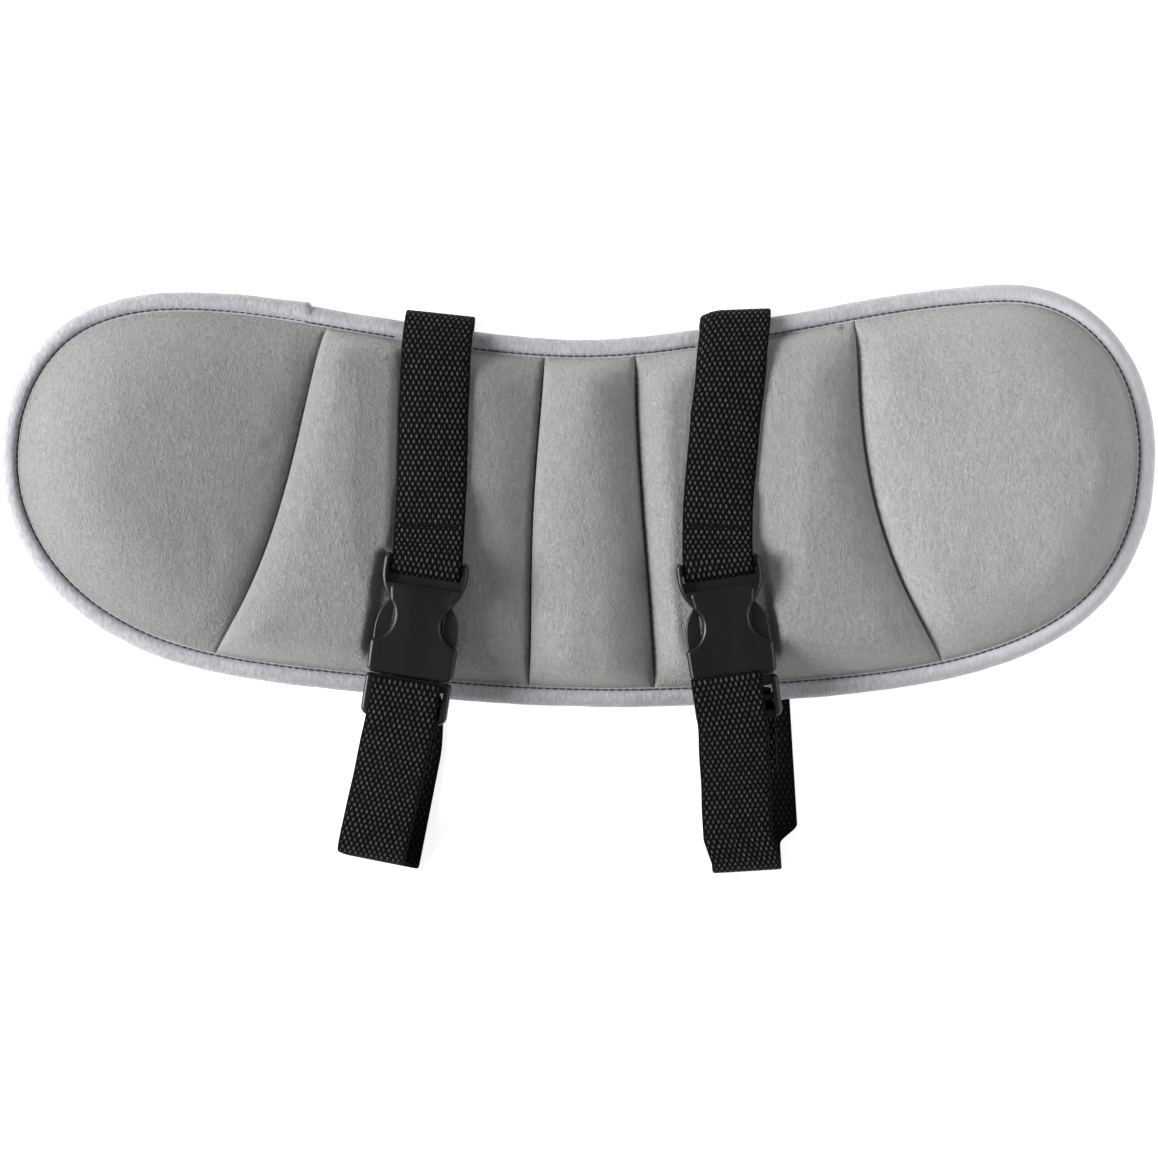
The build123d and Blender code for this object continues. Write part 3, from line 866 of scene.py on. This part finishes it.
def loop_tacks():
    """Dense zigzag tacks that close the upper straps' loops."""
    runs = []
    for side in SIDES:
        z = under_socket(side) + LAYER + WEBBING_T / 2
        point, heading = UPPER[side].place(TACK_AT, False)
        across = np.array([heading[1], -heading[0]])
        for k in range(TACKS):
            zag = (1 if k % 2 else -1) * TACK_HALF
            a = point + across * (k - TACKS / 2) * TACK_PITCH - heading * zag
            b = point + across * (k + 1 - TACKS / 2) * TACK_PITCH + heading * zag
            runs.append(((*a, z), (*b, z)))
    return stitched("loop_tacks", runs, 0.26 * MM, "strap_loop_tacks")


def strap_lift(points):
    """0 to 1 where a strap's back run passes under a plan point."""
    lifted = np.zeros(len(points))
    for side in SIDES:
        for route, start in ((UPPER[side], UPPER_END), (LOWER[side], LOWER_END)):
            origin = route.place(start, True)[0]
            v = (points - origin) @ route.lean
            u = np.abs((points - origin) @ np.array([-route.lean[1], route.lean[0]]) - route.swing(start + v))
            over = ease((13.6 * MM - u) / (1.1 * MM) + 1) * ease(v / (1.2 * MM) + 1)
            lifted = np.maximum(lifted, over)
    return lifted


def back_height(points):
    """Underside of the back fabric: a faint wobble, lifted over the straps' back runs."""
    spots = np.column_stack([points, np.zeros(len(points))])
    rise = 0.08 * MM + 0.07 * MM * wander(spots, 12 * MM, 9)
    return np.maximum(rise, 0) + strap_lift(points) * BACK_LAYER


def back_piece():
    """Back fabric, with the straps' back runs let into it."""
    polygon = resampled(inset_loop(BINDING_W - 0.1 * MM), 560)
    points, faces, count = filled_plan(polygon, 2.4 * MM)
    low = np.column_stack([points, back_height(points)])
    high = np.column_stack([points[:count], np.full(count, 2.9 * MM)])
    total = len(points)
    faces = [tuple(face[::-1]) for face in faces]
    faces += [(k, (k + 1) % count, total + (k + 1) % count, total + k) for k in range(count)]
    faces.append(tuple(total + k for k in range(count)))
    piece = new_piece("back_fabric", np.vstack([low, high]), faces)
    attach(piece, "pad")
    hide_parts("back_cover")
    return piece


# -------- materials
class Shader:
    """A node material, built by short calls."""

    def __init__(self, name, colour, roughness):
        self.material = bpy.data.materials.new(name)
        self.material.use_nodes = True
        self.nodes = self.material.node_tree.nodes
        self.links = self.material.node_tree.links
        self.surface = self.nodes["Principled BSDF"]
        self.surface.inputs["Base Color"].default_value = (*colour, 1)
        self.surface.inputs["Roughness"].default_value = roughness
        self.space = self.nodes.new("ShaderNodeTexCoord").outputs["Object"]

    def set(self, **values):
        """Uniform values on the surface's own sockets; an underscore stands for a space."""
        for key, value in values.items():
            self.surface.inputs[key.replace("_", " ")].default_value = value

    def put(self, value, socket):
        """Links an output to a socket, or sets a plain value on it."""
        if isinstance(value, bpy.types.NodeSocket):
            self.links.new(value, socket)
        else:
            socket.default_value = value

    def noise(self, scale, detail=3.0, rough=0.5, distortion=0.0, where=None):
        """Fractal noise over the object, or over other coordinates."""
        node = self.nodes.new("ShaderNodeTexNoise")
        node.inputs["Scale"].default_value = scale
        node.inputs["Detail"].default_value = detail
        node.inputs["Roughness"].default_value = rough
        node.inputs["Distortion"].default_value = distortion
        self.links.new(where or self.space, node.inputs["Vector"])
        return node.outputs["Fac"]

    def stretched(self, scale, turn=0.0):
        """Object coordinates, scaled unevenly and turned about Z."""
        node = self.nodes.new("ShaderNodeMapping")
        node.inputs["Scale"].default_value = scale
        node.inputs["Rotation"].default_value = (0, 0, turn)
        self.links.new(self.space, node.inputs["Vector"])
        return node.outputs["Vector"]

    def math(self, operation, a, b=0.0, clamp=False):
        """One sum on outputs or plain values."""
        node = self.nodes.new("ShaderNodeMath")
        node.operation = operation
        node.use_clamp = clamp
        self.put(a, node.inputs[0])
        self.put(b, node.inputs[1])
        return node.outputs[0]

    def remap(self, value, low, high, to_low, to_high):
        """An output, from one range to another."""
        node = self.nodes.new("ShaderNodeMapRange")
        for socket, number in zip(("From Min", "From Max", "To Min", "To Max"), (low, high, to_low, to_high)):
            node.inputs[socket].default_value = number
        self.links.new(value, node.inputs["Value"])
        return node.outputs["Result"]

    def mix(self, factor, a, b):
        """Colour between a and b."""
        node = self.nodes.new("ShaderNodeMix")
        node.data_type = "RGBA"
        self.put(factor, node.inputs["Factor"])
        for value, socket in ((a, node.inputs[6]), (b, node.inputs[7])):
            self.put(value if isinstance(value, bpy.types.NodeSocket) else (*value, 1), socket)
        return node.outputs[2]

    def colour(self, value):
        """Links or sets the surface's colour."""
        self.put(value, self.surface.inputs["Base Color"])

    def roughness(self, value):
        """Links or sets the surface's roughness."""
        self.put(value, self.surface.inputs["Roughness"])

    def bump(self, height, distance, strength=1.0):
        """Relief of the surface from an output."""
        node = self.nodes.new("ShaderNodeBump")
        node.inputs["Distance"].default_value = distance
        node.inputs["Strength"].default_value = strength
        self.links.new(height, node.inputs["Height"])
        self.links.new(node.outputs["Normal"], self.surface.inputs["Normal"])


def plush_material(name, nap_and_painted_light):
    """Short-pile grey plush: tufted mottling, darker between the tufts, with each panel's colour scaled by
    painted light for its nap sheen and the light falling on it.
    """
    s = Shader(name, (0.36, 0.36, 0.355), 0.95)
    tufts = s.noise(950, 4.0, 0.7, 1.2)
    streaks = s.noise(800, 2.0, 0.6, 0.8, s.stretched((1.0, 0.4, 1.0), 0.6))
    patches = s.noise(45, 3.0, 0.5)
    shade = s.math("ADD", s.math("MULTIPLY", tufts, 0.6), s.math("MULTIPLY", streaks, 0.4))
    # Painted light: the panel's factor lightens or darkens every tone of this plush.
    dark = [nap_and_painted_light * c for c in (0.235, 0.235, 0.226)]
    light = [nap_and_painted_light * c for c in (0.445, 0.445, 0.438)]
    fine = s.mix(s.remap(shade, 0.32, 0.68, 0, 1), dark, light)
    s.colour(s.mix(s.remap(patches, 0.3, 0.7, 0, 0.35), fine, [nap_and_painted_light * c for c in (0.33, 0.33, 0.32)]))
    s.bump(shade, 1.0 * MM, 1.0)
    s.set(Sheen_Weight=0.55, Sheen_Roughness=0.45, Sheen_Tint=(1, 1, 1, 1), Specular_IOR_Level=0.1)
    return s.material


def binding_material():
    """Brushed lilac-grey flannel with a fine diagonal nap, painted lighter towards the right end."""
    s = Shader("binding_flannel", (0.46, 0.455, 0.48), 0.92)
    nap_and_painted_light = s.noise(1100, 2.0, 0.6, 0.3, s.stretched((1.0, 0.35, 0.6), 0.8))
    clouds = s.noise(260, 3.0, 0.6)
    shade = s.mix(s.remap(nap_and_painted_light, 0.3, 0.7, 0, 1), (0.38, 0.372, 0.40), (0.60, 0.595, 0.62))
    cloudy = s.mix(s.remap(clouds, 0.35, 0.7, 0, 0.5), shade, (0.37, 0.36, 0.395))
    # Painted light: the binding is lightened along X, from 90 mm to 205 mm, up to half way to near white.
    parts = s.nodes.new("ShaderNodeSeparateXYZ")
    s.links.new(s.space, parts.inputs[0])
    painted_light_rightwards = s.remap(parts.outputs[0], 90 * MM, 205 * MM, 0, 0.5)
    s.colour(s.mix(painted_light_rightwards, cloudy, (0.86, 0.85, 0.88)))
    s.bump(nap_and_painted_light, 0.3 * MM, 0.6)
    s.set(Sheen_Weight=0.35, Sheen_Roughness=0.5, Specular_IOR_Level=0.15)
    return s.material


def webbing_material():
    """Black polypropylene webbing: rows of oval yarn floats, each row set half a step over, with painted
    highlights on the floats and painted shade on them low down.
    """
    s = Shader("webbing_black", (0.02, 0.02, 0.021), 0.6)
    uv = s.nodes.new("ShaderNodeUVMap")
    uv.uv_map = "webbing"
    parts = s.nodes.new("ShaderNodeSeparateXYZ")
    s.links.new(uv.outputs["UV"], parts.inputs[0])
    wobble = s.remap(s.noise(160, 2.0), 0.3, 0.7, -0.13, 0.13)
    rows = s.math("DIVIDE", parts.outputs[1], DOT_ALONG)
    row = s.math("FLOOR", rows)
    shift = s.math("MULTIPLY", s.math("MODULO", row, 2.0), 0.5)
    across = s.math("ADD", s.math("ADD", s.math("DIVIDE", parts.outputs[0], DOT_ACROSS), shift), wobble)
    x = s.math("SUBTRACT", s.math("FRACT", across), 0.5)
    y = s.math("SUBTRACT", s.math("FRACT", rows), 0.5)
    wide = s.math("MULTIPLY", s.math("MULTIPLY", x, x), 12.0)
    tall = s.math("MULTIPLY", s.math("MULTIPLY", y, y), 3.6)
    float_height = s.remap(s.math("ADD", wide, tall), 0.0, 0.95, 1.0, 0.0)
    rim = s.remap(s.math("ABSOLUTE", parts.outputs[0]), 11.0 * MM, 12.0 * MM, 1.0, 0.12)
    yarn = s.noise(2600, 2.0, 0.6, 0.0, s.stretched((1.0, 0.25, 1.0)))
    uneven = s.remap(s.noise(420, 3.0, 0.7), 0.34, 0.66, 0.3, 1.25)
    # Painted shade, partly the webbing's plainer back face: the floats dim below 7 mm, where the webbing lies
    # under and behind the pad.
    height = s.nodes.new("ShaderNodeSeparateXYZ")
    s.links.new(s.space, height.inputs[0])
    back_face_and_painted_shade = s.remap(height.outputs[2], 2 * MM, 7 * MM, 0.2, 1.0)
    lit = s.math("MULTIPLY", s.math("MULTIPLY", uneven, rim), back_face_and_painted_shade)
    # Painted highlight: the raised floats are coloured lighter, as if catching the light.
    painted_float_highlight = s.math("MULTIPLY", s.math("POWER", float_height, 1.2), lit, True)
    s.colour(s.mix(painted_float_highlight, (0.0022, 0.0022, 0.0024), (0.10, 0.10, 0.102)))
    weave = s.math("ADD", float_height, s.math("MULTIPLY", yarn, 0.25))
    s.roughness(s.remap(float_height, 0, 1, 0.85, 0.55))
    s.bump(weave, 0.35 * MM, 0.8)
    s.set(Specular_IOR_Level=0.08)
    return s.material


def plastic_material():
    """Moulded black acetal: fine spark-eroded grain, faint handling marks."""
    s = Shader("buckle_black", (0.012, 0.012, 0.0125), 0.36)
    grain = s.noise(2400, 2.0, 0.6)
    marks = s.noise(60, 5.0, 0.6, 0.0, s.stretched((1.0, 0.2, 1.0), 0.5))
    s.colour(s.mix(s.remap(marks, 0.4, 0.75, 0, 1), (0.0045, 0.0045, 0.0048), (0.008, 0.008, 0.0083)))
    s.roughness(s.math("ADD", s.remap(marks, 0.35, 0.7, 0.3, 0.42), s.math("MULTIPLY", grain, 0.06)))
    s.bump(grain, 0.02 * MM, 0.5)
    s.set(Specular_IOR_Level=0.5)
    return s.material


def thread_material(name, colour):
    """Twisted sewing thread."""
    s = Shader(name, colour, 0.7)
    twist = s.noise(2000, 2.0, 0.6, 0.0, s.stretched((1.0, 0.3, 1.0), 0.9))
    darker = tuple(0.55 * c for c in colour)
    s.colour(s.mix(twist, darker, colour))
    s.bump(twist, 0.1 * MM, 0.7)
    s.set(Sheen_Weight=0.05, Specular_IOR_Level=0.1)
    return s.material


def back_material():
    """Dark grey twill with rows of small rubber dots that grip the armrest."""
    s = Shader("back_twill", (0.10, 0.10, 0.105), 0.9)
    wave = s.nodes.new("ShaderNodeTexWave")
    wave.inputs["Scale"].default_value = 420
    wave.inputs["Distortion"].default_value = 1.2
    s.links.new(s.stretched((1.0, 1.0, 0.0), 0.78), wave.inputs["Vector"])
    dots = s.nodes.new("ShaderNodeTexVoronoi")
    dots.inputs["Scale"].default_value = 1 / (4.2 * MM)
    dots.inputs["Randomness"].default_value = 0.0
    s.links.new(s.stretched((1.0, 1.0, 0.0), 0.7854), dots.inputs["Vector"])
    dot = s.remap(dots.outputs["Distance"], 0.2, 0.27, 1.0, 0.0)
    weave = s.mix(wave.outputs["Fac"], (0.055, 0.055, 0.06), (0.13, 0.13, 0.135))
    s.colour(s.mix(dot, weave, (0.018, 0.018, 0.02)))
    s.roughness(s.remap(dot, 0, 1, 0.92, 0.45))
    s.bump(s.math("ADD", s.math("MULTIPLY", wave.outputs["Fac"], 0.3), dot), 0.35 * MM, 0.8)
    return s.material


def foam_material():
    """Open-cell foam."""
    s = Shader("foam_cream", (0.72, 0.69, 0.58), 0.95)
    cells = s.nodes.new("ShaderNodeTexVoronoi")
    cells.inputs["Scale"].default_value = 900
    s.links.new(s.space, cells.inputs["Vector"])
    s.colour(s.mix(cells.outputs["Distance"], (0.48, 0.45, 0.36), (0.78, 0.75, 0.64)))
    s.bump(cells.outputs["Distance"], 0.3 * MM, 0.8)
    return s.material


def lining_material():
    """Thin non-woven lining with a fibrous mottle."""
    s = Shader("lining_white", (0.7, 0.7, 0.7), 0.9)
    fibres = s.noise(700, 5.0, 0.7, 0.6)
    s.colour(s.mix(fibres, (0.52, 0.52, 0.52), (0.8, 0.8, 0.8)))
    s.bump(fibres, 0.15 * MM, 0.7)
    return s.material


def paint(piece, material):
    """Gives a piece, or a CAD node, one material."""
    piece.data.materials.clear()
    piece.data.materials.append(material)


# -------- the object
def make_straps(webbing):
    """The four straps. Each lower strap bends between the pad and its plug."""
    for side in SIDES:
        upper = strap_piece(f"webbing_upper_{side}", UPPER[side], upper_profile(side))
        paint(upper, webbing)
        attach(upper, "pad")
        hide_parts(f"upper_strap_{side}")
        lower = strap_piece(f"webbing_lower_{side}", LOWER[side], lower_profile(side))
        paint(lower, webbing)
        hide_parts(f"lower_strap_front_run_{side}", f"lower_strap_rear_run_{side}")
        blend_lower_strap(lower, side)


def blend_lower_strap(strap, side):
    """Bakes the strap's placement into its mesh; the two points it finds on the rear run are not used."""
    route = LOWER[side]
    start = route.place(70 * MM, True)[0]
    end = route.place(71.6 * MM, True)[0]
    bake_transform(strap)


def make_object():
    """Every piece of the pad, with its material."""
    for index, (name, nap_and_painted_light) in enumerate(zip(PANELS, PANEL_PAINTED_LIGHT)):
        paint(plush_panel(index), plush_material(f"plush_{name}", nap_and_painted_light))
    paint(binding_piece(), binding_material())
    grey = thread_material("thread_grey", (0.12, 0.105, 0.14))
    black = thread_material("thread_black", (0.003, 0.003, 0.0033))
    paint(binding_stitches(), grey)
    paint(seam_stitches(), grey)
    paint(anchor_stitches(), black)
    paint(loop_tacks(), black)
    paint(back_piece(), back_material())
    make_straps(webbing_material())
    plastic = plastic_material()
    for name, node in frame["nodes"].items():
        if name.startswith(("socket", "plug")):
            paint(node, plastic)
    paint(frame["nodes"]["base_foam"], foam_material())
    paint(frame["nodes"]["lining"], lining_material())


# -------- floor, light and camera
def area_light(name, place, target, size, power):
    """A round white lamp, turned towards a target."""
    light = bpy.data.lights.new(name, "AREA")
    light.shape = "DISK"
    light.size = size
    light.energy = power
    lamp = bpy.data.objects.new(name, light)
    lamp.location = place
    lamp.rotation_euler = (Vector(target) - Vector(place)).to_track_quat("-Z", "Y").to_euler()
    bpy.context.scene.collection.objects.link(lamp)


def make_stage():
    """Pale floor, soft key light low on the left, weak fill, and the camera straight above."""
    floor = new_piece("floor", [(-6, -6, 0), (6, -6, 0), (6, 6, 0), (-6, 6, 0)], [(0, 1, 2, 3)], smooth=False)
    paper = Shader("floor_white", (0.93, 0.93, 0.93), 0.9)
    paper.set(Emission_Color=(1, 1, 1, 1), Emission_Strength=0.7)
    paint(floor, paper.material)
    area_light("key", (-1.9, 0.15, 1.12), (0.05, 0, 0), 1.3, 74)
    area_light("fill", (0.5, -0.03, 0.4), (0.18, 0, 0), 0.35, 1.0)
    world = bpy.data.worlds.new("studio")
    world.use_nodes = True
    world.node_tree.nodes["Background"].inputs[0].default_value = (0.98, 0.99, 1.0, 1)
    world.node_tree.nodes["Background"].inputs[1].default_value = 0.17
    bpy.context.scene.world = world
    camera = bpy.data.cameras.new("camera")
    camera.sensor_width = SENSOR
    camera.lens = SENSOR * VIEW_DISTANCE / VIEW_WIDTH
    view = bpy.data.objects.new("camera", camera)
    view.location = CAMERA_PLACE
    bpy.context.scene.collection.objects.link(view)
    bpy.context.scene.camera = view
    bpy.context.scene.view_settings.view_transform = "Standard"


make_object()
make_stage()
